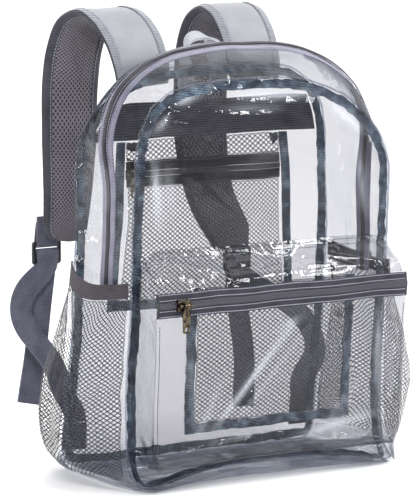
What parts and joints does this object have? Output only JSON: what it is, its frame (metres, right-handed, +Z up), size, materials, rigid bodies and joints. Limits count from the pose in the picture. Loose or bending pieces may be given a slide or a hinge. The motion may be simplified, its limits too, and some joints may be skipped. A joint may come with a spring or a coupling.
{
  "type": "clear backpack",
  "caption": "Clear backpack with a round top, zipped front box pocket, net side pockets, inside net organisers, padded shoulder straps and a haul handle.",
  "frame": {"origin": "bottom centre of the bounding box, on the floor that the bag stands on", "axes": "+Z up, -Y out of the front pocket, +X to the right as seen from the front"},
  "size_m": [0.4248, 0.2514, 0.4626],
  "materials": {
    "clear_pvc": "glossy",
    "zip_tape": "matte",
    "zip_chain": "satin",
    "slider_metal": "satin",
    "navy_ribbon": "matte",
    "net": "matte",
    "elastic": "matte",
    "strap_cloth": "satin",
    "webbing": "matte",
    "buckle_plastic": "satin"
  },
  "bodies": {
    "bag": {"front_panel": "clear_pvc", "back_panel": "clear_pvc", "bottom_panel": "clear_pvc", "side_gusset_right": "clear_pvc", "side_gusset_left": "clear_pvc", "top_gusset_front": "clear_pvc", "top_gusset_back": "clear_pvc", "main_zip_tape_front": "zip_tape", "main_zip_tape_back": "zip_tape", "main_zip_chain": "zip_chain", "main_zip_slider": "slider_metal", "front_binding": "navy_ribbon", "back_binding": "navy_ribbon", "pocket_face": "clear_pvc", "pocket_zip_tape_lower": "zip_tape", "pocket_zip_chain": "zip_chain", "pocket_zip_tape_upper": "zip_tape", "pocket_top": "clear_pvc", "pocket_wall": "clear_pvc", "elastic_band": "elastic", "organiser_net_upper": "net", "organiser_net_lower": "net", "organiser_zip_tape_upper": "elastic", "organiser_zip_chain": "zip_chain", "organiser_zip_tape_lower": "elastic", "organiser_ribbon": "navy_ribbon", "pocket_net": "net", "pocket_net_ribbon": "navy_ribbon", "side_foot_left": "elastic", "side_net_left": "net", "side_hem_left": "elastic", "side_foot_right": "elastic", "side_net_right": "net", "side_hem_right": "elastic", "pocket_slider": "slider_metal", "organiser_slider": "slider_metal", "strap_left": "strap_cloth", "strap_buckle_left": "buckle_plastic", "strap_anchor_left": "webbing", "strap_webbing_left": "webbing", "strap_loop_left": "webbing", "strap_right": "strap_cloth", "strap_buckle_right": "buckle_plastic", "strap_anchor_right": "webbing", "strap_webbing_right": "webbing", "strap_loop_right": "webbing", "top_handle": "strap_cloth"},
    "pocket_pull": {"pocket_pull": "slider_metal"},
    "organiser_pull": {"organiser_pull": "slider_metal"}
  },
  "joints": [
    {"name": "pocket_pull_swing", "type": "hinge", "parent": "bag", "child": "pocket_pull", "pos_m": [-0.118, -0.12296, 0.18801], "axis": [-1, 0, 0], "range_deg": [-6, 150]},
    {"name": "organiser_pull_swing", "type": "hinge", "parent": "bag", "child": "organiser_pull", "pos_m": [-0.08693, 0.03048, 0.29703], "axis": [-1, 0, 0], "range_deg": [0, 150]}
  ]
}
